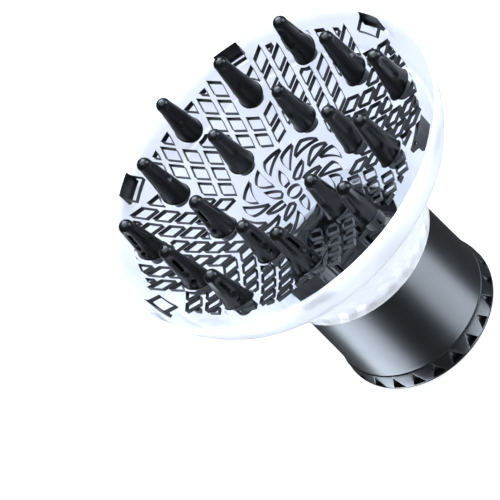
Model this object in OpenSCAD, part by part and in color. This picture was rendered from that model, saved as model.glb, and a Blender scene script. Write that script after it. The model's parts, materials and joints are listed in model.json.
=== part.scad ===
// Clip-in hair dryer diffuser: bowl, finger plate, twist collar and iris of gripping leaves.
// Z is the axis of the air path and points at the fingers; z = 0 is the mouth that takes the dryer.

/* [Bowl] */
// Largest outer radius of the bowl, under the rim
bowl_r = 81.2; // [80.8:0.1:81.6]
// Outer radius of the bowl's skirt, where it covers the collar
skirt_r = 39.2; // [39:0.1:39.6]
// Flat facets round each row of the bowl
facets = 36; // [24:12:48]
// How far alternate facet corners stand out or in
facet_relief = 0.35; // [0:0.05:0.45]

/* [Face plate] */
// Radius of the concave face
dish_r = 135; // [132:1:138]
// Height of the face at the axis
dish_z = 108.4; // [108:0.1:109]
// Thickness of the face plate
plate_t = 2.0; // [1.6:0.1:2.4]
// Height of the rim's top
rim_z = 134.9; // [134.5:0.1:136]
// Pitch of the diamond lattice
cell_pitch = 9.1; // [8.9:0.05:9.2]
// Width of the bars between the diamonds
bar_w = 2.5; // [2:0.1:3]

/* [Fingers] */
// Distance of the inner fingers from the axis
inner_ring_r = 34.2; // [33.8:0.1:34.6]
// Distance of the short outer fingers from the axis
short_ring_r = 63.7; // [63.4:0.1:64]
// Distance of the tall outer fingers from the axis
tall_ring_r = 55.7; // [55.3:0.1:56]
// Height of the outer fingers' tips
outer_tip_z = 147; // [144:0.5:150]
// Height of the inner fingers' tips
inner_tip_z = 136.4; // [134:0.5:139]
// Radius of a finger where it meets the face
finger_base_r = 5.8; // [5.5:0.1:5.9]
// Radius of a finger's round tip
finger_tip_r = 3.3; // [3.1:0.1:3.4]

/* [Collar] */
// Outer radius of the grip ring
grip_r = 40.1; // [39.8:0.1:40.6]
// Height of the grip ring
grip_h = 10.8; // [10.6:0.1:11.2]
// Notches round the grip ring
notches = 24; // [18:6:24]
// Radius of the mouth that takes the dryer's nozzle
mouth_r = 30.5; // [30.2:0.1:30.6]

/* [Iris] */
// Gripping leaves round the socket
leaves = 10; // [8:1:10]
// Turn of the collar from open to closed
twist = 30; // [20:1:30]
// Turn of a leaf for each degree of the collar
leaf_ratio = 1.4; // [1.2:0.05:1.4]

/* [Hidden] */
$fn = 96;

// Bowl rows: height, outer radius and wall depth of each ring of facet corners.
skirt_z = 61.5;
crease_z = 111;
rows = [
    [skirt_z, skirt_r, 1.7],
    [69.5, 41.2, 2.0],
    [77.5, 44.6, 2.3],
    [85.5, 50.0, 2.8],
    [94, 57.6, 3.0],
    [102.5, 65.6, 3.0],
    [crease_z, 73.1, 3.0]
];
bowl_top_z = 129.3;
flange_z = 66.4;
flange_t = 2.6;
flange_bore_r = 28.5;

// Face plate.
dish_centre_z = dish_z + dish_r;
face_r = 76.1;
sectors = 6;
sector_a = 360 / sectors;
lattice_in_r = 29.6;
lattice_out_r = 70.6;
whole_cell_r = 68;
finger_clear_r = 7.3;
window_w = 12.5;
window_in_r = 70.8;
hook_w = 9;
hook_z = 119.5;
swirl_n = 8;
hub_hole_r = 3.3;

// Fingers.
finger_wall = 1.3;
spigot_r = 4.2;
flute_r = 2.8;
flute_out = 1.75;
slot_w = 1.5;
vent_r = 0.95;
tip_vent_r = 0.6;

// Collar and its bearing on the carrier.
collar_top_z = 66;
collar_in_r = 35.2;
spigot_z = 5.2;
spigot_out_r = 36.5;
rib_z = 63.4;
rib_in_r = 33.5;
running_gap = 0.08;
shoulder_r = 34.9;
notch_h = 7.4;
notch_r = 3.3;

// Iris: pivot circle, leaf band and drive pins.
leaf_pitch = 360 / leaves;
pivot_r = 33;
pin_r = 1.2;
pin_gap = 0.05;
barrel_r = 1.95;
leaf_in_r = 31.7;
leaf_out_r = 33.3;
leaf_arc = 29.5;
leaf_z = [5.6, 44.6];
plate_z = [45, 47.4];
cam_z = [48, 50.6];
iris_bore_r = 25.6;
drive_r = 1.1;
drive_gap = 0.15;
drive_top_z = 50.2;
drive_at = [32.5 * cos(10), 32.5 * sin(10)];
pad_in_r = 30.7;
pad_z = [9, 41];
screw_n = 5;
screw_ring_r = 31.2;
screw_r = 1.1;

black = "#1b1d20";
white = "#eceef4";

// Height of the concave face at distance r from the axis.
function face_z(r) = dish_centre_z - sqrt(dish_r * dish_r - r * r);
function polar(r, a) = [r * cos(a), r * sin(a)];
function turn(p, a) = [p.x * cos(a) - p.y * sin(a), p.x * sin(a) + p.y * cos(a)];
// Points of a quadratic curve from p to q that bends towards c.
function bend(p, c, q, n = 6) = [for (i = [0:n - 1]) let (t = i / n)
    (1 - t) * (1 - t) * p + 2 * t * (1 - t) * c + t * t * q];
// Strip of half-width w along a path, as one closed outline.
function normals(path) = [for (i = [0:len(path) - 1])
    let (d = path[min(i + 1, len(path) - 1)] - path[max(i - 1, 0)]) [-d.y, d.x] / norm(d)];
function strip(path, w) = let (n = normals(path)) concat(
    [for (i = [0:len(path) - 1]) path[i] + w * n[i]],
    [for (i = [len(path) - 1:-1:0]) path[i] - w * n[i]]);

// Drive pin's place on the collar when a leaf has turned by a, and its path across the fixed cam.
function drive_on_collar(a) = [pivot_r, 0] + turn(drive_at - [pivot_r, 0], a);
function drive_on_cam(a) = turn(drive_on_collar(a * leaf_ratio), a);
cam_path = [for (a = [-0.6:2.6:twist + 0.8]) drive_on_cam(a)];
collar_path = [for (a = [-0.8:3.6:twist * leaf_ratio + 1]) drive_on_collar(a)];

// ---- Bowl: rows of flat triangles, a smooth shoulder band and a flange for the carrier ----
function corner(j, k, depth) = let (a = 360 / facets * (k + j / 2),
    r = rows[j][1] - depth + (depth > 0 ? 0 : facet_relief * ((k + j) % 2 == 0 ? 1 : -1)))
    [r * cos(a), r * sin(a), rows[j][0]];
module facet_shell() {
    n = len(rows);
    outer = [for (j = [0:n - 1]) for (k = [0:facets - 1]) corner(j, k, 0)];
    inner = [for (j = [0:n - 1]) for (k = [0:facets - 1]) corner(j, k, rows[j][2])];
    half = n * facets;
    wall = [for (j = [0:n - 2]) for (k = [0:facets - 1]) let (
        a = j * facets + k, b = j * facets + (k + 1) % facets,
        c = a + facets, d = b + facets) each [
            [a, c, b], [b, c, d], [half + a, half + b, half + c], [half + b, half + d, half + c]]];
    top = (n - 1) * facets;
    ends = [for (k = [0:facets - 1]) let (m = (k + 1) % facets) each [
        [k, m, half + k], [m, half + m, half + k],
        [top + k, half + top + k, top + m], [top + m, half + top + k, half + top + m]]];
    polyhedron(points = concat(outer, inner), faces = concat(wall, ends), convexity = 6);
}
module bowl() {
    color(white) difference() {
        union() {
            facet_shell();
            rotate_extrude() polygon([
                [70.6, crease_z - 0.5], [73.6, crease_z - 0.5], [73.9, crease_z], [76.1, 115],
                [78.2, 120], [79.9, 124.6], [bowl_r, bowl_top_z], [79.2, bowl_top_z],
                [77.6, 124.6], [75.8, 120], [73.4, 115]]);
            translate([0, 0, flange_z]) difference() {
                cylinder(h = flange_t, r = 39.3);
                translate([0, 0, -1]) cylinder(h = flange_t + 2, r = flange_bore_r);
            }
        }
        for (i = [0:screw_n - 1]) rotate([0, 0, i * 360 / screw_n])
            translate([screw_ring_r, 0, flange_z - 1]) cylinder(h = flange_t + 2, r = screw_r + 0.2);
        for (i = [0:sectors - 1]) rotate([0, 0, (i + 0.5) * sector_a])
            translate([74, -hook_w / 2 - 0.6, hook_z + 1]) cube([3.3, hook_w + 1.2, 3.6]);
    }
}

// ---- Face plate ----
// One diamond of a sector's lattice; i and j count along the sector's two edges.
module diamond(i, j) {
    u = polar(cell_pitch, -sector_a / 2);
    v = polar(cell_pitch, sector_a / 2);
    m = bar_w / 2 / sin(sector_a) / cell_pitch;
    polygon([(i + m) * u + (j + m) * v, (i + 1 - m) * u + (j + m) * v,
        (i + 1 - m) * u + (j + 1 - m) * v, (i + m) * u + (j + 1 - m) * v]);
}
// Diamonds hidden under a finger, behind a window or outside the ring are left solid.
function cell_centre(i, j) =
    (i + 0.5) * polar(cell_pitch, -sector_a / 2) + (j + 0.5) * polar(cell_pitch, sector_a / 2);
function near(p, r, a, d) = norm(p - polar(r, a)) < d;
function is_open(i, j) = let (p = cell_centre(i, j))
    norm(p) > 31 && norm(p) < 74 && abs(i - j) < 7 && i + j < 9
    && !(norm(p) < 33 && near(p, inner_ring_r, 0, 6))
    && !near(p, short_ring_r, 0, 6) && !near(p, tall_ring_r, sector_a / 2, 5.6)
    && !near(p, tall_ring_r, -sector_a / 2, 5.6);
// Open diamonds of one sector whose centres lie between two distances from the axis.
module diamonds(from_r, to_r) {
    for (i = [0:7]) for (j = [0:7]) let (r = norm(cell_centre(i, j)))
        if (is_open(i, j) && r > from_r && r <= to_r) diamond(i, j);
}
// Only the outermost diamonds are cut off by the lattice's edge.
module lattice() {
    for (s = [0:sectors - 1]) rotate([0, 0, s * sector_a]) difference() {
        union() {
            diamonds(0, whole_cell_r);
            intersection() {
                diamonds(whole_cell_r, 80);
                circle(r = lattice_out_r);
            }
        }
        circle(r = lattice_in_r);
        translate([inner_ring_r, 0]) circle(r = finger_clear_r);
        translate([short_ring_r, 0]) circle(r = finger_clear_r);
        for (a = [-1, 1]) rotate(a * sector_a / 2) translate([tall_ring_r, 0]) circle(r = finger_clear_r);
    }
}
// Swirl at the hub: small petals, long petals and hooks, eight of each.
module swirl() {
    circle(r = hub_hole_r);
    for (k = [0:swirl_n - 1]) rotate(k * 360 / swirl_n) {
        polygon(concat(bend([3, 6], [5.6, 9.9], [11.5, 10.3]),
            bend([11.5, 10.3], [8.8, 5.9], [5.1, 4.2])));
        polygon(concat(bend([4.5, 11.8], [3.4, 17.6], [5.2, 20.4]),
            bend([5.2, 20.4], [8.6, 22.2], [12.8, 21.1]),
            bend([12.8, 21.1], [8.3, 17.6], [4.5, 11.8])));
        polygon(concat(bend([10, 15], [12.6, 18.6], [16.5, 18.8]),
            bend([16.5, 18.8], [20.4, 16.3], [22.4, 11.9]),
            bend([22.4, 11.9], [16.6, 15.6], [10, 15])));
    }
}
module rim_profile() {
    polygon([[74.9, 123], [76.9, 123], [76.9, bowl_top_z], [bowl_r, bowl_top_z], [80.9, 130.6],
        [80.3, rim_z - 1.5], [79.9, rim_z - 0.5], [79.1, rim_z], [77.4, rim_z], [76.6, rim_z - 0.3],
        [face_r, rim_z - 1.1], [face_r, 127.5], [74.9, 127.3]]);
}
// Snap hook below a window: a flat tongue with a wedge nib.
module hook() {
    translate([73.6, -hook_w / 2, hook_z]) cube([1.6, hook_w, 7]);
    translate([0, hook_w / 2, 0]) rotate([90, 0, 0]) linear_extrude(hook_w)
        polygon([[75, 120.8], [76.9, 122.4], [76.9, 122.9], [75, 122.9]]);
}
module face_plate() {
    color(black) difference() {
        union() {
            intersection() {
                translate([0, 0, dish_centre_z]) difference() {
                    sphere(r = dish_r + plate_t);
                    sphere(r = dish_r);
                }
                translate([0, 0, dish_z - plate_t - 1]) cylinder(h = 28, r = face_r + 0.3);
            }
            rotate_extrude() rim_profile();
            for (i = [0:sectors - 1]) rotate([0, 0, (i + 0.5) * sector_a]) hook();
        }
        translate([0, 0, dish_z - plate_t - 2]) linear_extrude(30) {
            lattice();
            swirl();
        }
        for (i = [0:sectors - 1]) rotate([0, 0, (i + 0.5) * sector_a])
            translate([window_in_r, -window_w / 2, 126.4]) cube([face_r - window_in_r, window_w, 6.2]);
        for (s = [0:sectors - 1]) rotate([0, 0, s * sector_a]) {
            spigot_hole(inner_ring_r, 0);
            spigot_hole(short_ring_r, 0);
            spigot_hole(tall_ring_r, sector_a / 2);
        }
    }
}
module spigot_hole(r, a) {
    rotate([0, 0, a]) translate([r, 0, face_z(r) - 9]) cylinder(h = 14, r = spigot_r);
}

// ---- Fingers: hollow, with three flutes, each with a slot and a round vent below it ----
module finger(ring_r, a, tip_z, tip_vent) {
    base_z = face_z(ring_r);
    dome_z = tip_z - finger_tip_r;
    h = dome_z - base_z;
    slope = (finger_base_r - finger_tip_r) / h;
    drop = 5;
    color("#0d0e10") rotate([0, 0, a]) difference() {
        union() {
            intersection() {
                union() {
                    translate([ring_r, 0, base_z - drop])
                        cylinder(h = h + drop, r1 = finger_base_r + slope * drop, r2 = finger_tip_r);
                    translate([ring_r, 0, dome_z]) sphere(r = finger_tip_r);
                }
                translate([0, 0, dish_centre_z]) sphere(r = dish_r);
            }
            translate([ring_r, 0, base_z - plate_t - 3]) cylinder(h = plate_t + 5, r = spigot_r);
        }
        translate([ring_r, 0, base_z - plate_t - 4]) cylinder(h = h + plate_t + 2.5,
            r1 = spigot_r - finger_wall + 0.5, r2 = finger_tip_r - finger_wall);
        for (k = [0:2]) translate([ring_r, 0, base_z]) rotate([0, 0, 180 + 120 * k]) {
            flute(h, slope);
            translate([0, 0, 0.27 * h]) rotate([0, 90, 0]) cylinder(h = 9, r = vent_r);
        }
        if (tip_vent) translate([ring_r, 0, dome_z - 3]) cylinder(h = 9, r = tip_vent_r);
    }
}
// Rounded groove that follows the finger's taper, with a slot through its floor.
module flute(h, slope) {
    low = 0.52 * h;
    high = h - 2;
    lean = atan(slope);
    translate([finger_base_r - slope * low + flute_out, 0, low]) {
        sphere(r = flute_r);
        rotate([0, -lean, 0]) cylinder(h = (high - low) / cos(lean), r = flute_r - 0.03);
    }
    translate([finger_base_r - slope * high + flute_out, 0, high]) sphere(r = flute_r);
    translate([0, -slot_w / 2, low + 1]) cube([9, slot_w, high - low - 2]);
}

// ---- Fixed carrier with the cam slots ----
module cam_carrier() {
    color(black) difference() {
        rotate_extrude() polygon([
            [29, flange_z], [29, 59.5], [31, 57.5], [31, cam_z[1]], [iris_bore_r, cam_z[1]],
            [iris_bore_r, cam_z[0]], [34.6, cam_z[0]], [34.6, cam_z[1]], [33.2, cam_z[1]],
            [33.2, 59.5], [shoulder_r, 59.5], [shoulder_r, rib_z - 0.3],
            [rib_in_r - running_gap, rib_z - 0.3], [rib_in_r - running_gap, flange_z]]);
        translate([0, 0, cam_z[0] - 1]) linear_extrude(cam_z[1] - cam_z[0] + 1) for (i = [0:leaves - 1])
            rotate(i * leaf_pitch) slot(cam_path, drive_r + drive_gap);
        for (i = [0:screw_n - 1]) rotate([0, 0, i * 360 / screw_n]) translate([screw_ring_r, 0, 60.4])
            cylinder(h = 7, r = screw_r);
    }
}
module slot(path, w) {
    polygon(strip(path, w));
    translate(path[0]) circle(r = w);
    translate(path[len(path) - 1]) circle(r = w);
}
module carrier_screws() {
    top = flange_z + flange_t;
    color("#9a9da2") for (i = [0:screw_n - 1]) rotate([0, 0, i * 360 / screw_n])
        translate([screw_ring_r, 0, 0]) difference() {
            union() {
                translate([0, 0, 60.8]) cylinder(h = top - 60.8, r = screw_r);
                translate([0, 0, top]) cylinder(h = 1, r = 2.1);
                translate([0, 0, top + 1]) cylinder(h = 0.6, r1 = 2.1, r2 = 1.5);
            }
            for (a = [0, 90]) translate([0, 0, top + 1.2]) rotate([0, 0, a])
                cube([2.4, 0.5, 1.4], center = true);
        }
}
// Rubber ring that gives the collar its drag.
module friction_ring() {
    color("#2a2b2d") rotate_extrude() translate([34.15, 58.55]) circle(r = 0.95, $fn = 32);
}

// ---- Twist collar: neck, grip ring, pivot plate and pins ----
module neck_collar() {
    color(black) rotate_extrude() polygon([
        [collar_in_r, spigot_z], [spigot_out_r, spigot_z], [spigot_out_r, grip_h], [38.5, grip_h],
        [38.3, 13], [38.0, 20], [37.5, 33], [37.0, 48], [36.7, 58], [36.7, collar_top_z - 0.5],
        [36.3, collar_top_z], [33.9, collar_top_z], [rib_in_r, collar_top_z - 0.4],
        [rib_in_r, rib_z], [collar_in_r, rib_z]]);
}
module grip_ring() {
    color(black) difference() {
        rotate_extrude() polygon([
            [mouth_r + 0.8, 0], [38.7, 0], [39.5, 0.5], [39.95, 1.3], [grip_r, 2.4], [grip_r - 0.1, 4.2],
            [39.5, 7.2], [38.75, grip_h - 0.3], [38.5, grip_h], [spigot_out_r, grip_h],
            [spigot_out_r, spigot_z], [mouth_r, spigot_z], [mouth_r, 0.8]]);
        for (i = [0:notches - 1]) rotate([0, 0, i * 360 / notches]) translate([grip_r + 0.25, 0, 2.5])
            rotate([0, -10, 0]) cylinder(h = notch_h, r1 = notch_r, r2 = 0.02);
        for (i = [0:leaves - 1]) rotate([0, 0, i * leaf_pitch]) translate([pivot_r, 0, 2.6])
            cylinder(h = 4, r = pin_r);
    }
}
module pivot_plate() {
    color(black) translate([0, 0, plate_z[0]]) difference() {
        cylinder(h = plate_z[1] - plate_z[0], r = collar_in_r);
        translate([0, 0, -1]) cylinder(h = 6, r = iris_bore_r);
        for (i = [0:leaves - 1]) rotate([0, 0, i * leaf_pitch]) {
            translate([pivot_r, 0, -1]) cylinder(h = 6, r = pin_r);
            translate([0, 0, -1]) linear_extrude(6) slot(collar_path, drive_r + drive_gap);
        }
    }
}
module pivot_pins() {
    color("#c4c7cb") for (i = [0:leaves - 1]) rotate([0, 0, i * leaf_pitch]) translate([pivot_r, 0, 2.6])
        cylinder(h = plate_z[1] - 2.6, r = pin_r);
}

// ---- Iris leaves, each with a ribbed pad ----
module leaf(i) {
    tall = leaf_z[1] - leaf_z[0];
    color("#24262a") rotate([0, 0, i * leaf_pitch]) difference() {
        union() {
            translate([pivot_r, 0, leaf_z[0]]) cylinder(h = tall, r = barrel_r);
            translate([0, 0, leaf_z[0]]) rotate_extrude(angle = leaf_arc)
                translate([leaf_in_r, 0]) square([leaf_out_r - leaf_in_r, tall]);
            translate([drive_at.x, drive_at.y, leaf_z[1] - 3])
                cylinder(h = drive_top_z - leaf_z[1] + 3, r = drive_r);
        }
        translate([pivot_r, 0, leaf_z[0] - 1]) cylinder(h = tall + 2, r = pin_r + pin_gap);
    }
}
module pad(i) {
    ribs = 8;
    step = (pad_z[1] - pad_z[0]) / ribs;
    color("#3a3c40") rotate([0, 0, i * leaf_pitch + 13]) rotate_extrude(angle = 15.5) polygon(concat(
        [[leaf_in_r, pad_z[1]], [leaf_in_r, pad_z[0]]],
        [for (k = [0:ribs - 1]) each [
            [pad_in_r + 0.35, pad_z[0] + k * step], [pad_in_r, pad_z[0] + (k + 0.3) * step],
            [pad_in_r, pad_z[0] + (k + 0.7) * step]]],
        [[pad_in_r + 0.35, pad_z[1]]]));
}

bowl();
face_plate();
cam_carrier();
carrier_screws();
friction_ring();
finger(inner_ring_r, 0 * sector_a, inner_tip_z, false);  // finger_inner_1
finger(inner_ring_r, 1 * sector_a, inner_tip_z, false);  // finger_inner_2
finger(inner_ring_r, 2 * sector_a, inner_tip_z, false);  // finger_inner_3
finger(inner_ring_r, 3 * sector_a, inner_tip_z, false);  // finger_inner_4
finger(inner_ring_r, 4 * sector_a, inner_tip_z, false);  // finger_inner_5
finger(inner_ring_r, 5 * sector_a, inner_tip_z, false);  // finger_inner_6
finger(short_ring_r, 0 * sector_a, outer_tip_z, false);  // finger_short_1
finger(short_ring_r, 1 * sector_a, outer_tip_z, false);  // finger_short_2
finger(short_ring_r, 2 * sector_a, outer_tip_z, false);  // finger_short_3
finger(short_ring_r, 3 * sector_a, outer_tip_z, false);  // finger_short_4
finger(short_ring_r, 4 * sector_a, outer_tip_z, false);  // finger_short_5
finger(short_ring_r, 5 * sector_a, outer_tip_z, false);  // finger_short_6
finger(tall_ring_r, 0.5 * sector_a, outer_tip_z, true);  // finger_tall_1
finger(tall_ring_r, 1.5 * sector_a, outer_tip_z, true);  // finger_tall_2
finger(tall_ring_r, 2.5 * sector_a, outer_tip_z, true);  // finger_tall_3
finger(tall_ring_r, 3.5 * sector_a, outer_tip_z, true);  // finger_tall_4
finger(tall_ring_r, 4.5 * sector_a, outer_tip_z, true);  // finger_tall_5
finger(tall_ring_r, 5.5 * sector_a, outer_tip_z, true);  // finger_tall_6
neck_collar();
grip_ring();
pivot_plate();
pivot_pins();
leaf(0);  // leaf_1
leaf(1);  // leaf_2
leaf(2);  // leaf_3
leaf(3);  // leaf_4
leaf(4);  // leaf_5
leaf(5);  // leaf_6
leaf(6);  // leaf_7
leaf(7);  // leaf_8
leaf(8);  // leaf_9
leaf(9);  // leaf_10
pad(0);  // pad_1
pad(1);  // pad_2
pad(2);  // pad_3
pad(3);  // pad_4
pad(4);  // pad_5
pad(5);  // pad_6
pad(6);  // pad_7
pad(7);  // pad_8
pad(8);  // pad_9
pad(9);  // pad_10
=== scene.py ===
import bpy, bmesh, json, math
from mathutils import Matrix, Vector


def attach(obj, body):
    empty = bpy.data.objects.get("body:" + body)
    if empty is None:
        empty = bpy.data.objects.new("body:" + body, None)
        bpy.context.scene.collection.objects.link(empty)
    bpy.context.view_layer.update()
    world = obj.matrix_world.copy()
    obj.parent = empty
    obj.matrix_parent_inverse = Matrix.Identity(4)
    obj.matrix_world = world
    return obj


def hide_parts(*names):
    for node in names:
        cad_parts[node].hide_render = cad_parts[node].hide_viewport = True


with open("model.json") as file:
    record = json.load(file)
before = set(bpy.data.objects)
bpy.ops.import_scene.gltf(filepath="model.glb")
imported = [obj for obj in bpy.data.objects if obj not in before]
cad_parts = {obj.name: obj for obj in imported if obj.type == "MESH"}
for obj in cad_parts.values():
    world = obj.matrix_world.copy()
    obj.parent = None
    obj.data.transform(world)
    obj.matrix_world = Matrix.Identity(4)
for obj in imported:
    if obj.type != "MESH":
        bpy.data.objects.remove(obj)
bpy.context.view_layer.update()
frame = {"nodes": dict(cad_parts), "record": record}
nodes = frame["nodes"]
slotOf = {part["node"]: part["material_slot"] for part in frame["record"]["subparts"]}
mm = 0.001


# Colours, shader nodes and materials.
def linear(hexText):
    parts = [int(hexText[i:i + 2], 16) / 255 for i in (1, 3, 5)]
    return [c / 12.92 if c <= 0.04045 else ((c + 0.055) / 1.055) ** 2.4 for c in parts] + [1]


def addNode(tree, kind, settings=None, links=None):
    node = tree.nodes.new(kind)
    for name, value in (settings or {}).items():
        if isinstance(name, int) or name in node.inputs:
            node.inputs[name].default_value = value
        else:
            setattr(node, name, value)
    for name, source in (links or {}).items():
        tree.links.new(source, node.inputs[name])
    return node


# Moulded plastics and rubbers: a fine mould grain, a slow waviness, patches of gloss and paler worn edges.
def mouldedPlastic(name, look):
    material = bpy.data.materials.new(name)
    material.use_nodes = True
    tree = material.node_tree
    shader = tree.nodes["Principled BSDF"]
    place = addNode(tree, "ShaderNodeTexCoord").outputs["Object"]
    grain = addNode(tree, "ShaderNodeTexNoise", {"Scale": 1 / (look["grain"] * mm), "Detail": 3.0, "Roughness": 0.6},
                    {"Vector": place})
    wave = addNode(tree, "ShaderNodeTexNoise", {"Scale": 1 / (look["wave"] * mm), "Detail": 2.0},
                   {"Vector": place})
    patches = addNode(tree, "ShaderNodeTexNoise", {"Scale": 1 / (look["patch"] * mm), "Detail": 5.0,
                                                   "Roughness": 0.65}, {"Vector": place})
    edges = addNode(tree, "ShaderNodeNewGeometry").outputs["Pointiness"]
    worn = addNode(tree, "ShaderNodeMapRange", {"From Min": 0.53, "From Max": 0.60, "To Min": 0.0,
                                                "To Max": look["wear"]}, {"Value": edges})
    tone = addNode(tree, "ShaderNodeMix", {"data_type": "RGBA", 6: linear(look["colour"]),
                                           7: linear(look["tint"])}, {0: patches.outputs["Fac"]})
    colour = addNode(tree, "ShaderNodeMix", {"data_type": "RGBA", 7: linear(look["edge"])},
                     {0: worn.outputs["Result"], 6: tone.outputs[2]})
    gloss = addNode(tree, "ShaderNodeMapRange", {"From Min": 0.3, "From Max": 0.7,
                                                 "To Min": look["rough"] - look["roughSpread"],
                                                 "To Max": look["rough"] + look["roughSpread"]},
                    {"Value": patches.outputs["Fac"]})
    slow = addNode(tree, "ShaderNodeBump", {"Strength": 1.0, "Distance": look["waveHeight"] * mm},
                   {"Height": wave.outputs["Fac"]})
    fine = addNode(tree, "ShaderNodeBump", {"Strength": 1.0, "Distance": look["grainHeight"] * mm},
                   {"Height": grain.outputs["Fac"], "Normal": slow.outputs["Normal"]})
    tree.links.new(colour.outputs[2], shader.inputs["Base Color"])
    tree.links.new(gloss.outputs["Result"], shader.inputs["Roughness"])
    tree.links.new(fine.outputs["Normal"], shader.inputs["Normal"])
    shader.inputs["IOR"].default_value = look["ior"]
    for socket, value in look.get("sockets", {}).items():
        shader.inputs[socket].default_value = value
    return material


# Ground or plated steel: faint lines along the part's turning and a little tarnish.
def turnedSteel(name, look):
    material = bpy.data.materials.new(name)
    material.use_nodes = True
    tree = material.node_tree
    shader = tree.nodes["Principled BSDF"]
    place = addNode(tree, "ShaderNodeTexCoord").outputs["Object"]
    stretch = addNode(tree, "ShaderNodeMapping", {"Scale": (1, 1, look["stretch"])}, {"Vector": place})
    lines = addNode(tree, "ShaderNodeTexNoise", {"Scale": 1 / (look["line"] * mm), "Detail": 3.0},
                    {"Vector": stretch.outputs["Vector"]})
    tarnish = addNode(tree, "ShaderNodeTexNoise", {"Scale": 1 / (look["patch"] * mm), "Detail": 4.0},
                      {"Vector": place})
    colour = addNode(tree, "ShaderNodeMix", {"data_type": "RGBA", 6: linear(look["colour"]),
                                             7: linear(look["tint"])}, {0: tarnish.outputs["Fac"]})
    gloss = addNode(tree, "ShaderNodeMapRange", {"To Min": look["rough"] - 0.08, "To Max": look["rough"] + 0.1},
                    {"Value": tarnish.outputs["Fac"]})
    bump = addNode(tree, "ShaderNodeBump", {"Strength": 1.0, "Distance": look["lineHeight"] * mm},
                   {"Height": lines.outputs["Fac"]})
    tree.links.new(colour.outputs[2], shader.inputs["Base Color"])
    tree.links.new(gloss.outputs["Result"], shader.inputs["Roughness"])
    tree.links.new(bump.outputs["Normal"], shader.inputs["Normal"])
    shader.inputs["Metallic"].default_value = 1
    return material


# Sizes in millimetres. A real mould grain is 0.05 to 0.1 mm; it is drawn about five times as coarse, so that it shows.
plasticLooks = {
    # ABS, polished mould, slightly see-through: a cold white that glows a little where light gets behind it
    "bowl_white": {"name": "mouldedAbsWhite", "colour": "#e0e2eb", "tint": "#d9dbe6", "edge": "#eeeff4",
                   "rough": 0.36, "roughSpread": 0.05, "ior": 1.53, "grain": 0.45, "grainHeight": 0.0035,
                   "wave": 14, "waveHeight": 0.05, "patch": 20, "wear": 0.5,
                   "sockets": {"Subsurface Weight": 1.0, "Subsurface Radius": (1, 0.97, 1),
                               "Subsurface Scale": 0.012}},
    # ABS from a lightly blasted mould: a satin black that takes a grey sheen from a large light
    "plate_black": {"name": "mouldedAbsSatinBlack", "colour": "#0e1013", "tint": "#14171a", "edge": "#2b3035",
                    "rough": 0.37, "roughSpread": 0.04, "ior": 1.53, "grain": 0.4, "grainHeight": 0.006,
                    "wave": 12, "waveHeight": 0.03, "patch": 16, "wear": 0.5},
    # ABS from a polished mould: deep gloss black with soft reflections
    "finger_black": {"name": "polishedAbsBlack", "colour": "#060708", "tint": "#0a0b0c", "edge": "#1a1c1e",
                     "rough": 0.3, "roughSpread": 0.03, "ior": 1.53, "grain": 0.5, "grainHeight": 0.001,
                     "wave": 9, "waveHeight": 0.006, "patch": 8, "wear": 0.3},
    # ABS, semi-gloss: long soft light bands round the neck
    "collar_black": {"name": "mouldedAbsCollar", "colour": "#0e1012", "tint": "#131518", "edge": "#2b2e32",
                     "rough": 0.34, "roughSpread": 0.03, "ior": 1.53, "grain": 0.4, "grainHeight": 0.0025,
                     "wave": 18, "waveHeight": 0.03, "patch": 24, "wear": 0.4},
    "grip_black": {"name": "mouldedAbsGrip", "colour": "#121417", "tint": "#181b1e", "edge": "#3c4045",
                   "rough": 0.3, "roughSpread": 0.05, "ior": 1.53, "grain": 0.4, "grainHeight": 0.004,
                   "wave": 10, "waveHeight": 0.02, "patch": 9, "wear": 0.7},
    # Glass-filled nylon inside: dull, with a coarse dry skin
    "inner_black": {"name": "mouldedNylon", "colour": "#17181a", "tint": "#1f2022", "edge": "#34363a",
                    "rough": 0.52, "roughSpread": 0.07, "ior": 1.53, "grain": 0.35, "grainHeight": 0.012,
                    "wave": 9, "waveHeight": 0.04, "patch": 7, "wear": 0.5},
    # Polypropylene leaves: waxy, a little greyer
    "leaf_black": {"name": "mouldedPolypropylene", "colour": "#1c1e21", "tint": "#25282b", "edge": "#44484c",
                   "rough": 0.44, "roughSpread": 0.06, "ior": 1.49, "grain": 0.4, "grainHeight": 0.006,
                   "wave": 8, "waveHeight": 0.05, "patch": 6, "wear": 0.6},
    # Silicone pads: soft matt grey with a dusty bloom
    "pad_rubber": {"name": "mouldedSilicone", "colour": "#33353a", "tint": "#3f4247", "edge": "#5a5d62",
                   "rough": 0.68, "roughSpread": 0.08, "ior": 1.43, "grain": 0.3, "grainHeight": 0.012,
                   "wave": 5, "waveHeight": 0.03, "patch": 3, "wear": 0.5},
    "ring_rubber": {"name": "nitrileRubber", "colour": "#1a1a1b", "tint": "#242425", "edge": "#3a3a3b",
                    "rough": 0.6, "roughSpread": 0.08, "ior": 1.52, "grain": 0.3, "grainHeight": 0.01,
                    "wave": 4, "waveHeight": 0.02, "patch": 3, "wear": 0.4},
}
steelLooks = {
    # ground rod: bright, with lines along its length
    "pin_steel": {"name": "groundSteelRod", "colour": "#c9ccd1", "tint": "#a9adb3", "rough": 0.26, "stretch": 0.04,
                  "line": 0.2, "lineHeight": 0.003, "patch": 3},
    # zinc plating: greyer and softer than the bare steel
    "screw_steel": {"name": "zincPlatedSteel", "colour": "#b4b8be", "tint": "#8f949b", "rough": 0.36, "stretch": 1,
                    "line": 0.25, "lineHeight": 0.004, "patch": 1.5},
}
materials = {slot: mouldedPlastic(look["name"], look) for slot, look in plasticLooks.items()}
materials.update({slot: turnedSteel(look["name"], look) for slot, look in steelLooks.items()})
print("materials", len(materials))


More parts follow.
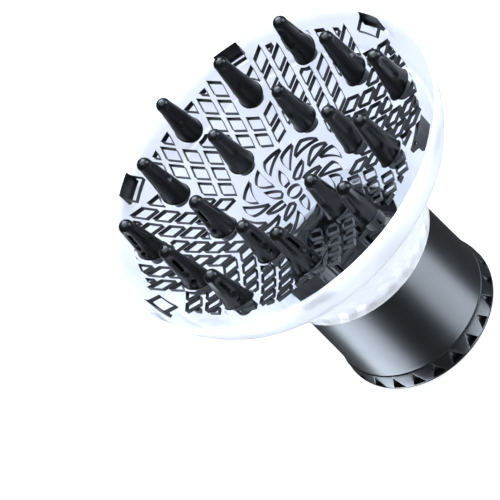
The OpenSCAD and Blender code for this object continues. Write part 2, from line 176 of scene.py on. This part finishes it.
# Making and cutting meshes. Sizes are in millimetres until a mesh is finished.
def lathe(profile, steps, closed=True):
    form = bmesh.new()
    points = [form.verts.new((r, 0, z)) for r, z in profile]
    pairs = list(zip(points, points[1:] + points[:1])) if closed else list(zip(points, points[1:]))
    edges = [form.edges.new(pair) for pair in pairs]
    bmesh.ops.spin(form, geom=points + edges, cent=(0, 0, 0), axis=(0, 0, 1), angle=2 * math.pi, steps=steps,
                   use_merge=True)
    bmesh.ops.remove_doubles(form, verts=form.verts[:], dist=0.0005)
    bmesh.ops.recalc_face_normals(form, faces=form.faces[:])
    return form


def makeObject(name, form, scale=1):
    if scale != 1:
        bmesh.ops.scale(form, vec=(scale,) * 3, verts=form.verts[:])
    mesh = bpy.data.meshes.new(name)
    form.to_mesh(mesh)
    form.free()
    piece = bpy.data.objects.new(name, mesh)
    bpy.context.scene.collection.objects.link(piece)
    return piece


def combine(form, cutter, operation="DIFFERENCE", selfCrossing=False):
    base, tool = makeObject("base", form), makeObject("tool", cutter)
    change = base.modifiers.new("combine", "BOOLEAN")
    change.object, change.operation, change.solver = tool, operation, "EXACT"
    change.use_self = selfCrossing
    mesh = bpy.data.meshes.new_from_object(base.evaluated_get(bpy.context.evaluated_depsgraph_get()))
    result = bmesh.new()
    result.from_mesh(mesh)
    for thing in (base, tool):
        bpy.data.objects.remove(thing)
    bpy.data.meshes.remove(mesh)
    return result


def shade(mesh, sharpAngle):
    mesh.shade_smooth()
    mesh.set_sharp_from_angle(angle=math.radians(sharpAngle))


def finishPiece(name, form, slot, sharpAngle, body, *replaced):
    piece = makeObject(name, form, mm)
    piece.data.materials.append(materials[slot])
    shade(piece.data, sharpAngle)
    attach(piece, body)
    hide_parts(*replaced)
    return piece


def smoothStep(t):
    t = min(max(t, 0), 1)
    return t * t * (3 - 2 * t)


dish = {"radius": 135, "centre": 243.4, "thickness": 2}


def dishHeight(x, y, radius=dish["radius"]):
    return dish["centre"] - math.sqrt(radius ** 2 - x * x - y * y)


# Fingers: a spun hollow cone with a round tip, three flutes, and a slot and a vent in each flute's line.
finger = {
    "baseRadius": 5.8, "tipRadius": 3.3, "wall": 1.3, "spigotRadius": 4.2, "spigotDepth": 4.9, "steps": 132,
    "footRadius": 6.2, "footRise": 0.7, "rowStep": 0.42,
    "fluteRadius": 2.9, "fluteOut": 1.85, "fluteLow": 0.52, "fluteBelowDome": 2.0, "lip": 0.16, "deepest": 1.1,
    "slotWidth": 1.5, "slotLow": 0.53, "slotHigh": 0.87, "ventRadius": 0.95, "ventSink": 1.6, "ventHeight": 0.27,
    "tipVentRadius": 0.6,
}
fingerRings = {
    "finger_inner": {"ring": 34.2, "turn": 0, "tip": 136.4, "tipVent": False},
    "finger_short": {"ring": 63.7, "turn": 0, "tip": 147, "tipVent": False},
    "finger_tall": {"ring": 55.7, "turn": 30, "tip": 147, "tipVent": True},
}


def fingerForm(ring):
    f = finger
    baseZ = dishHeight(ring["ring"], 0)
    height = ring["tip"] - f["tipRadius"] - baseZ
    slope = (f["baseRadius"] - f["tipRadius"]) / height
    outer = []
    for k in range(5):  # the foot flares out to the face in a small fillet
        a = math.radians(90 * k / 5)
        spread = f["footRadius"] - f["baseRadius"]
        outer.append((f["footRadius"] - spread * math.sin(a), f["footRise"] * (1 - math.cos(a))))
    rows = int((height - f["footRise"]) / f["rowStep"])
    for k in range(rows):
        h = f["footRise"] + (height - f["footRise"]) * k / rows
        outer.append((f["baseRadius"] - slope * h, h))
    for k in range(14):
        a = math.radians(90 * k / 14)
        outer.append((f["tipRadius"] * math.cos(a), height + f["tipRadius"] * math.sin(a)))
    outer.append((0, height + f["tipRadius"]))
    innerTip = f["tipRadius"] - f["wall"]
    inner = [(0, height + innerTip)]
    for k in range(4, -1, -1):
        a = math.radians(90 * k / 5)
        inner.append((innerTip * math.cos(a), height + innerTip * math.sin(a)))
    for k in range(11, -1, -1):
        inner.append((innerTip + (f["baseRadius"] - f["wall"] - 0.7 - innerTip) * (1 - k / 12), height * k / 12))
    spigot = [(f["spigotRadius"] - 1, -f["spigotDepth"]), (f["spigotRadius"] - 0.3, -f["spigotDepth"]),
              (f["spigotRadius"], 0.3 - f["spigotDepth"]), (f["spigotRadius"], -0.05), (f["footRadius"] - 0.1, -0.05)]
    form = lathe(outer + inner + spigot, f["steps"], closed=True)
    # Flutes: each point of the outer wall inside a flute's rounded bar sinks to the bar's surface.
    for k in range(3):
        a = math.radians(180 + 120 * k)
        ends = []
        for share in (f["fluteLow"], 1 - f["fluteBelowDome"] / height):
            out = f["baseRadius"] - slope * share * height + f["fluteOut"]
            ends.append(Vector((out * math.cos(a), out * math.sin(a), share * height)))
        axis = ends[1] - ends[0]
        for v in form.verts:
            flat = Vector((v.co.x, v.co.y, 0))
            if v.co.z < 1 or flat.length < f["baseRadius"] - slope * v.co.z - 0.6 and v.co.z < height:
                continue
            if v.co.z >= height and (v.co - Vector((0, 0, height))).length < f["tipRadius"] - 0.6:
                continue
            t = min(max((v.co - ends[0]).dot(axis) / axis.length_squared, 0), 1)
            depth = f["fluteRadius"] - (v.co - ends[0] - axis * t).length
            sink = 0.5 * (depth + math.sqrt(depth * depth + f["lip"] ** 2))
            if sink > 0.02:
                v.co -= flat.normalized() * min(sink, f["deepest"]) if flat.length > 0.3 else Vector((0, 0, 0))
    # The foot lies on the concave face and the lean dies away upwards.
    for v in form.verts:
        lift = dishHeight(ring["ring"] + v.co.x, v.co.y) - baseZ
        v.co.z += lift * (1 - smoothStep(v.co.z / 9)) if v.co.z > -1 else 0
    bmesh.ops.recalc_face_normals(form, faces=form.faces[:])
    # Slots, vents with a countersunk edge, and the tip's vent.
    cuts = bmesh.new()
    for k in range(3):
        turn = Matrix.Rotation(math.radians(180 + 120 * k), 4, "Z")
        low, high = f["slotLow"] * height, f["slotHigh"] * height
        made = bmesh.ops.create_cube(cuts, size=1)["verts"]
        bmesh.ops.scale(cuts, vec=(9, f["slotWidth"], high - low), verts=made)
        ends = [e for e in {e for v in made for e in v.link_edges} if abs((e.verts[0].co - e.verts[1].co).x) > 1]
        bmesh.ops.bevel(cuts, geom=ends, offset=f["slotWidth"] * 0.45, segments=5, profile=0.5, affect="EDGES",
                        material=-1)
        island = [v for v in cuts.verts if v.tag is False]
        bmesh.ops.translate(cuts, vec=(5, 0, (low + high) / 2), verts=island)
        bmesh.ops.rotate(cuts, cent=(0, 0, 0), matrix=turn, verts=island)
        for v in island:
            v.tag = True
        ventZ = f["ventHeight"] * height
        wallAt = f["baseRadius"] - slope * ventZ
        for radius1, radius2, middle, depth in ((f["ventRadius"], f["ventRadius"], 5, 9),
                                                (f["ventRadius"] * 0.6, f["ventSink"] + 0.75, wallAt - 0.1, 1.6)):
            place = Matrix.Translation((middle, 0, ventZ)) @ Matrix.Rotation(math.radians(90), 4, "Y")
            bmesh.ops.create_cone(cuts, cap_ends=True, segments=28, radius1=radius1, radius2=radius2, depth=depth,
                                  matrix=turn @ place)
        for v in cuts.verts:
            v.tag = True
    if ring["tipVent"]:
        bmesh.ops.create_cone(cuts, cap_ends=True, segments=20, radius1=f["tipVentRadius"],
                              radius2=f["tipVentRadius"], depth=6, matrix=Matrix.Translation((0, 0, height + 1)))
    bmesh.ops.recalc_face_normals(cuts, faces=cuts.faces[:])
    form = combine(form, cuts, selfCrossing=True)
    bmesh.ops.translate(form, vec=(ring["ring"], 0, baseZ), verts=form.verts[:])
    return form


def makeFingers():
    for kind, ring in fingerRings.items():
        form = fingerForm(ring)
        for k in range(6):
            copy = form.copy()
            bmesh.ops.rotate(copy, cent=(0, 0, 0), matrix=Matrix.Rotation(math.radians(ring["turn"] + 60 * k), 3, "Z"),
                             verts=copy.verts[:])
            piece = finishPiece(f"{kind}_look_{k + 1}", copy, "finger_black", 40, "diffuser", f"{kind}_{k + 1}")
        print("fingers", kind, len(piece.data.polygons), "faces each")
        form.free()



# Face plate: sheet, rim and skirt are one section. It is spun flat, cut, and then laid on the concave face.
plate = {
    "sheetRings": 26, "sheetEnd": 74.5, "steps": 240, "lip": 0.22, "overcut": 0.6, "cellPitch": 9.1, "barWidth": 2.5,
    "latticeIn": 29.6, "latticeOut": 70.6, "wholeCell": 68, "fingerClear": 7.3, "hubHole": 3.3, "swirls": 8,
    "windowIn": 70.8, "windowOut": 76.25, "windowWidth": 12.5, "windowLow": 126.4, "spigotHole": 4.25,
    "hookWidth": 9, "hookRound": 0.3,
    # radius and height up the fillet, over the rim, down the outside, and round the skirt
    "rim": [(74.72, 130.97), (75.14, 131.28), (75.51, 131.68), (75.8, 132.15), (76.0, 132.68), (76.09, 133.25),
            (76.13, 133.7), (76.3, 134.12), (76.6, 134.5), (76.98, 134.76), (77.45, 134.88), (78.3, 134.9),
            (79.0, 134.88), (79.4, 134.76), (79.75, 134.48), (80.05, 134.05), (80.3, 133.4), (80.6, 132),
            (80.9, 130.6), (81.16, 129.5), (81.12, 129.38), (81.0, 129.32), (78.5, 129.32), (76.95, 129.32),
            (76.9, 129.25), (76.9, 126), (76.9, 123.3), (76.82, 123.1), (76.65, 123.02), (75.2, 123.02),
            (75.0, 123.1), (74.92, 123.3), (74.92, 125.5), (74.92, 128.34)],
    "hook": [(73.62, 126.5), (73.62, 120.1), (74.0, 119.55), (74.8, 119.52), (76.75, 120.6), (76.88, 121.0),
             (76.75, 121.35), (75.6, 122.1), (75.2, 122.5), (75.2, 126.5)],
}
fingerPlaces = [(ring["ring"], ring["turn"] + 60 * k) for ring in fingerRings.values() for k in range(6)]


def polar(radius, degrees):
    return Vector((radius * math.cos(math.radians(degrees)), radius * math.sin(math.radians(degrees)), 0))


def bend(start, control, end, count=7):
    points = [Vector((*p, 0)) for p in (start, control, end)]
    return [points[0].lerp(points[1], k / count).lerp(points[1].lerp(points[2], k / count), k / count)
            for k in range(count)]


def circleAt(centre, radius, count):
    return [centre + polar(radius, 360 * k / count) for k in range(count)]


# Each outline is pushed up through the sheet; a round lip spreads its top edge, or draws it in where side is -1.
def addPrisms(form, outlines, side=1, bottom=-1):
    p, lip, top = plate, plate["lip"], dish["thickness"]
    faces = [form.faces.new([form.verts.new((c.x, c.y, bottom)) for c in outline]) for outline in outlines]
    form.normal_update()
    made = bmesh.ops.extrude_face_region(form, geom=faces, use_keep_orig=True)["geom"]
    tops = [g for g in made if isinstance(g, bmesh.types.BMFace)]
    bmesh.ops.translate(form, vec=(0, 0, top - lip - bottom), verts=list({v for f in tops for v in f.verts}))
    for spread, rise in ((0.134, 0.5), (0.366, 0.366), (0.326, 0.12)):
        bmesh.ops.inset_individual(form, faces=tops, thickness=-side * spread * lip, depth=rise * lip,
                                   use_even_offset=True)
    made = bmesh.ops.extrude_face_region(form, geom=tops)["geom"]
    bmesh.ops.delete(form, geom=[f for f in tops if f.is_valid], context="FACES_ONLY")
    bmesh.ops.translate(form, vec=(0, 0, p["overcut"]), verts=[g for g in made if isinstance(g, bmesh.types.BMVert)])
    bmesh.ops.recalc_face_normals(form, faces=form.faces[:])
    return form


# The open diamonds of the six sectors: those that the lattice's edge cuts, and those left whole.
def latticeOutlines():
    p = plate
    u, v = polar(p["cellPitch"], -30), polar(p["cellPitch"], 30)
    margin = p["barWidth"] / 2 / math.sin(math.radians(60)) / p["cellPitch"]
    cut, whole = [], []
    for i in range(8):
        for j in range(8):
            centre = u * (i + 0.5) + v * (j + 0.5)
            r = centre.length
            underFinger = ((centre - polar(63.7, 0)).length < 6 or (centre - polar(55.7, 30)).length < 5.6
                           or (centre - polar(55.7, -30)).length < 5.6
                           or r < 33 and (centre - polar(34.2, 0)).length < 6)
            if not 31 < r < 74 or abs(i - j) >= 7 or i + j >= 9 or underFinger:
                continue
            corners = [u * (i + a) + v * (j + b) for a, b in ((margin, margin), (1 - margin, margin),
                                                              (1 - margin, 1 - margin), (margin, 1 - margin))]
            for k in range(6):
                turn = Matrix.Rotation(math.radians(60 * k), 3, "Z")
                (cut if r > p["wholeCell"] else whole).append([turn @ c for c in corners])
    return cut, whole


def swirlOutlines():
    petals = [
        bend((3, 6), (5.6, 9.9), (11.5, 10.3)) + bend((11.5, 10.3), (8.8, 5.9), (5.1, 4.2)) + [Vector((5.1, 4.2, 0))],
        bend((4.5, 11.8), (3.4, 17.6), (5.2, 20.4)) + bend((5.2, 20.4), (8.6, 22.2), (12.8, 21.1))
        + bend((12.8, 21.1), (8.3, 17.6), (4.5, 11.8)),
        bend((10, 15), (12.6, 18.6), (16.5, 18.8)) + bend((16.5, 18.8), (20.4, 16.3), (22.4, 11.9))
        + bend((22.4, 11.9), (16.6, 15.6), (10, 15)),
    ]
    outlines = []
    for k in range(plate["swirls"]):
        turn = Matrix.Rotation(math.radians(360 * k / plate["swirls"]), 3, "Z")
        outlines += [[turn @ p for p in reversed(petal)] for petal in petals]
    return outlines


def layOnDish(form, back=False):
    for v in form.verts:
        r = Vector((v.co.x, v.co.y)).length
        low = dishHeight(r, 0, dish["radius"] + dish["thickness"])
        scale = (dishHeight(r, 0) - low) / dish["thickness"]
        v.co.z = (v.co.z - low) / scale if back else low + v.co.z * scale


def makeFacePlate():
    p = plate
    cut, whole = latticeOutlines()
    holes = combine(addPrisms(bmesh.new(), cut), addPrisms(bmesh.new(), [circleAt(Vector(), p["latticeOut"], 180)]),
                    "INTERSECT")
    addPrisms(holes, whole)
    keep = [circleAt(polar(*place), p["fingerClear"], 48) for place in fingerPlaces]
    keep.append(circleAt(Vector(), p["latticeIn"], 120))
    holes = combine(holes, addPrisms(bmesh.new(), keep, side=-1, bottom=-2))
    addPrisms(holes, swirlOutlines())
    addPrisms(holes, [circleAt(Vector(), p["hubHole"], 40)])
    addPrisms(holes, [circleAt(polar(*place), p["spigotHole"], 32) for place in fingerPlaces])
    half = math.degrees(math.asin(p["windowWidth"] / 2 / p["windowOut"]))
    for k in range(6):
        middle = 30 + 60 * k
        window = [polar(p["windowOut"], middle + half * n / 4) for n in range(-4, 5)]
        inner = math.degrees(math.asin(p["windowWidth"] / 2 / p["windowIn"]))
        window += [polar(p["windowIn"], middle - inner * n / 4) for n in range(-4, 5)]
        ends = bmesh.new()
        face = ends.faces.new([ends.verts.new((c.x, c.y, p["windowLow"])) for c in window])
        made = bmesh.ops.extrude_face_region(ends, geom=[face], use_keep_orig=True)["geom"]
        bmesh.ops.translate(ends, vec=(0, 0, 10), verts=[g for g in made if isinstance(g, bmesh.types.BMVert)])
        layOnDish(ends, back=True)
        bmesh.ops.recalc_face_normals(ends, faces=ends.faces[:])
        mesh = bpy.data.meshes.new("window")
        ends.to_mesh(mesh)
        holes.from_mesh(mesh)
        ends.free()
    radii = [p["sheetEnd"] * k / p["sheetRings"] for k in range(p["sheetRings"] + 1)]
    section = [(r, dishHeight(r, 0)) for r in radii] + p["rim"]
    section += [(r, dishHeight(r, 0, dish["radius"] + dish["thickness"])) for r in reversed(radii)]
    sheet = lathe(section, p["steps"], closed=False)
    layOnDish(sheet, back=True)
    sheet = combine(sheet, holes)
    layOnDish(sheet)
    print("face plate", len(sheet.faces), "faces")
    return sheet


# Bowl: the CAD's own form, with the faint facet edges rounded and the smooth band left smooth.
bowl = {
    "facetTop": 110.9, "bevel": 0.18, "merge": 0.003, "edgeAngle": 2, "sharpAngle": 24,
    "groove": [(72.5, 110.9), (76, 110.9), (76, 111.4), (72.5, 111.4)],
    "facets": 60, "rows": 11, "relief": 0.42, "proud": 0.75, "skin": 1.4,
    "line": [(61.5, 39.2), (69.5, 41.2), (77.5, 44.6), (85.5, 50), (94, 57.6), (102.5, 65.6), (110.9, 73.0)],
}


def bowlRadius(z):
    for (z0, r0), (z1, r1) in zip(bowl["line"], bowl["line"][1:]):
        if z <= z1:
            return r0 + (r1 - r0) * (z - z0) / (z1 - z0)
    return bowl["line"][-1][1]


# The quilted skin: a spun wall whose rows are turned half a facet in turn, with its points raised and sunk.
def facetSkin():
    b = bowl
    low, high = b["line"][0][0], b["line"][-1][0]
    rows = [low + (high - low) * k / b["rows"] for k in range(b["rows"] + 1)]
    section = [(bowlRadius(z) + b["proud"], z) for z in rows]
    section += [(bowlRadius(z) - b["skin"], z) for z in reversed(rows)]
    form = lathe(section, b["facets"])
    step = 2 * math.pi / b["facets"]
    for v in form.verts:
        row = round((v.co.z - low) / (high - low) * b["rows"])
        if v.co.xy.length < bowlRadius(v.co.z):
            continue
        place = round(math.atan2(v.co.y, v.co.x) / step)
        if 0 < row < b["rows"]:
            v.co += Vector((v.co.x, v.co.y, 0)).normalized() * b["relief"] * (1 if (place + row) % 2 else -1)
        if row % 2:
            v.co.rotate(Matrix.Rotation(step / 2, 3, "Z"))
    bmesh.ops.triangulate(form, faces=form.faces[:], quad_method="SHORT_EDGE")
    bmesh.ops.recalc_face_normals(form, faces=form.faces[:])
    return form


def makeBowl():
    form = bmesh.new()
    form.from_mesh(nodes["bowl"].data)
    bmesh.ops.scale(form, vec=(1 / mm,) * 3, verts=form.verts[:])
    bmesh.ops.remove_doubles(form, verts=form.verts[:], dist=bowl["merge"])
    form = combine(combine(form, facetSkin(), "UNION"), lathe(bowl["groove"], 240))
    edges = [e for e in form.edges if len(e.link_faces) == 2 and e.calc_face_angle() > math.radians(bowl["edgeAngle"])
             and max(v.co.z for v in e.verts) < bowl["facetTop"] and e.calc_length() > 2
             and min(v.co.xy.length - bowlRadius(v.co.z) for v in e.verts) > 0]
    print("bowl", len(form.faces), "faces,", len(edges), "edges rounded")
    bmesh.ops.bevel(form, geom=edges, offset=bowl["bevel"], segments=1, profile=0.5, affect="EDGES", material=-1,
                    clamp_overlap=True)
    return form


# Neck: one long spun sleeve with a small step under the bowl and a bead where it meets the grip.
neck = {
    "steps": 256,
    "outer": [(36.5, 5.2), (36.5, 10.75), (38.2, 10.82), (38.42, 11.0), (38.46, 11.3), (38.3, 13), (38.15, 16),
              (38.0, 20), (37.76, 26), (37.5, 33), (37.26, 40), (37.0, 48), (36.84, 53), (36.7, 58), (36.7, 62),
              (36.7, 65.3), (36.64, 65.55), (36.48, 65.8), (36.2, 65.95), (35.2, 66), (34.2, 66), (33.75, 65.9),
              (33.55, 65.65), (33.5, 65.3), (33.5, 63.75), (33.58, 63.5), (33.8, 63.4), (34.9, 63.4), (35.1, 63.3),
              (35.2, 63.05), (35.2, 50), (35.2, 36), (35.2, 22), (35.2, 5.5), (35.3, 5.25), (35.5, 5.2)],
}
# Grip: a rounded ring with pointed finger notches and rounded notch edges.
grip = {
    "steps": 288, "notches": 24, "notchAt": 40.35, "notchLow": 2.5, "notchHigh": 7.4, "notchRadius": 3.3,
    "lean": -10, "notchSides": 40, "pins": 10, "pinRing": 33, "pinRadius": 1.2, "edge": 0.16,
    "section": [(30.5, 1.0), (30.62, 0.5), (30.95, 0.14), (31.4, 0.0), (35, 0.0), (38.5, 0.0), (38.95, 0.1),
                (39.4, 0.42), (39.72, 0.85), (39.95, 1.35), (40.06, 1.85), (40.1, 2.4), (40.09, 3.1), (40.0, 4.2),
                (39.8, 5.6), (39.5, 7.2), (39.15, 8.8), (38.8, 10.3), (38.66, 10.62), (38.4, 10.78), (38.0, 10.8),
                (36.56, 10.8), (36.5, 10.7), (36.5, 5.2), (30.6, 5.2), (30.5, 5.1), (30.5, 3)],
}


def makeGrip():
    g = grip
    form = lathe(g["section"], g["steps"])
    cuts = bmesh.new()
    lean = Matrix.Rotation(math.radians(g["lean"]), 4, "Y")
    for k in range(g["notches"]):
        turn = Matrix.Rotation(math.radians(360 * k / g["notches"]), 4, "Z")
        place = turn @ Matrix.Translation((g["notchAt"], 0, g["notchLow"])) @ lean
        place = place @ Matrix.Translation((0, 0, g["notchHigh"] / 2))
        bmesh.ops.create_cone(cuts, cap_ends=True, segments=g["notchSides"], radius1=g["notchRadius"], radius2=0.02,
                              depth=g["notchHigh"], matrix=place)
    for k in range(g["pins"]):
        place = Matrix.Translation((*polar(g["pinRing"], 360 * k / g["pins"]).xy, 4.6))
        bmesh.ops.create_cone(cuts, cap_ends=True, segments=24, radius1=g["pinRadius"], radius2=g["pinRadius"],
                              depth=4, matrix=place)
    form = combine(form, cuts)
    rims = [e for e in form.edges if len(e.link_faces) == 2 and e.calc_face_angle() > math.radians(28)
            and min(v.co.xy.length for v in e.verts) > 36.8 and 0.3 < min(v.co.z for v in e.verts)
            and max(v.co.z for v in e.verts) < 10.4]
    bmesh.ops.bevel(form, geom=rims, offset=g["edge"], segments=2, profile=0.5, affect="EDGES", material=-1,
                    clamp_overlap=True)
    print("grip", len(form.faces), "faces,", len(rims), "edges rounded")
    return form


makeFingers()
finishPiece("face_plate_look", makeFacePlate(), "plate_black", 30, "diffuser", "face_plate")
piece = finishPiece("bowl_look", makeBowl(), "bowl_white", bowl["sharpAngle"], "diffuser", "bowl")
for face in piece.data.polygons:  # facets stay flat, the band above the groove stays round
    face.use_smooth = face.center.z > bowl["facetTop"] * mm
finishPiece("neck_collar_look", lathe(neck["outer"], neck["steps"]), "collar_black", 50, "collar", "neck_collar")
finishPiece("grip_ring_look", makeGrip(), "grip_black", 35, "collar", "grip_ring")

for name, node in nodes.items():
    node.data.materials.clear()
    node.data.materials.append(materials[slotOf[name]])

studio = {"floorColour": "#9a9a9c", "floorGlow": 0.9, "floorGap": 0.0005, "sky": 0.1, "skyColour": "#e2efff",
          "airColour": "#f4f6f9", "backdrop": 0.95}


def makeFloor():
    form = bmesh.new()
    bmesh.ops.create_grid(form, x_segments=1, y_segments=1, size=6)
    bmesh.ops.translate(form, vec=(0, 0, -studio["floorGap"]), verts=form.verts[:])
    floor = makeObject("studioFloor", form)
    material = bpy.data.materials.new("studioPaper")
    material.use_nodes = True
    shader = material.node_tree.nodes["Principled BSDF"]
    shader.inputs["Base Color"].default_value = linear(studio["floorColour"])
    shader.inputs["Roughness"].default_value = 0.9
    shader.inputs["Emission Color"].default_value = (1, 1, 1, 1)
    shader.inputs["Emission Strength"].default_value = studio["floorGlow"]
    # seen from below, the paper is clear, so that it never hides the mouth
    tree = material.node_tree
    clear = addNode(tree, "ShaderNodeBsdfTransparent")
    under = addNode(tree, "ShaderNodeNewGeometry").outputs["Backfacing"]
    sides = addNode(tree, "ShaderNodeMixShader", links={0: under, 1: shader.outputs["BSDF"], 2: clear.outputs["BSDF"]})
    tree.links.new(sides.outputs["Shader"], tree.nodes["Material Output"].inputs["Surface"])
    floor.data.materials.append(material)
    floor.visible_glossy = False
    floor.visible_shadow = False  # the two low cards shine up past it


lights = [
    # name, azimuth it stands at, elevation, distance, width, height, power, lights matt surfaces too
    ("backSoftbox", 112, 52, 1.1, 1.0, 0.75, 20, True),
    ("keySoftbox", 32, 16, 1.2, 0.6, 0.6, 8, True),
    ("topSoftbox", 60, 80, 1.2, 1.8, 1.8, 28, True),
    ("leftCard", -124, -42, 0.9, 0.6, 0.6, 10, False),
    ("rightCard", 2, -42, 0.9, 0.6, 0.6, 9, False),
]


def standDirection(azimuth, elevation):
    a, e = math.radians(azimuth), math.radians(elevation)
    return Vector((math.sin(a) * math.cos(e), -math.cos(a) * math.cos(e), math.sin(e)))


def makeLights():
    aim = Vector((0, 0, 90 * mm))
    for name, azimuth, elevation, distance, width, height, power, matt in lights:
        data = bpy.data.lights.new(name, "AREA")
        data.shape = "RECTANGLE"
        data.size, data.size_y, data.energy = width, height, power
        data.color = linear(studio["skyColour"])[:3]
        lamp = bpy.data.objects.new(name, data)
        lamp.visible_diffuse = matt
        direction = standDirection(azimuth, elevation)
        lamp.location = aim + direction * distance
        lamp.rotation_euler = direction.to_track_quat("Z", "Y").to_euler()
        bpy.context.scene.collection.objects.link(lamp)
    world = bpy.data.worlds.new("studioAir")
    bpy.context.scene.world = world
    world.use_nodes = True
    air = world.node_tree.nodes["Background"]
    air.inputs["Color"].default_value = linear(studio["airColour"])
    seen = addNode(world.node_tree, "ShaderNodeLightPath").outputs["Is Camera Ray"]
    level = addNode(world.node_tree, "ShaderNodeMapRange", {"To Min": studio["sky"], "To Max": studio["backdrop"]},
                    {"Value": seen})
    world.node_tree.links.new(level.outputs["Result"], air.inputs["Strength"])



camera = {"azimuth": -39.287, "elevation": 40.882, "roll": -47.365, "distance": 765.6, "across": 78.95,
          "down": 30.02, "lens": 117.35}


def makeCamera():
    data = bpy.data.cameras.new("productCamera")
    data.lens, data.sensor_width = camera["lens"], 36
    view = bpy.data.objects.new("productCamera", data)
    bpy.context.scene.collection.objects.link(view)
    back = standDirection(camera["azimuth"], camera["elevation"])
    turn = back.to_track_quat("Z", "Y") @ Matrix.Rotation(math.radians(camera["roll"]), 3, "Z").to_quaternion()
    right, up = turn @ Vector((1, 0, 0)), turn @ Vector((0, 1, 0))
    place = back * camera["distance"] - right * camera["across"] + up * camera["down"]
    view.location = place * mm
    view.rotation_mode = "QUATERNION"
    view.rotation_quaternion = turn
    bpy.context.scene.camera = view


makeFloor()
makeLights()
makeCamera()
bpy.context.scene.view_settings.view_transform = "Standard"
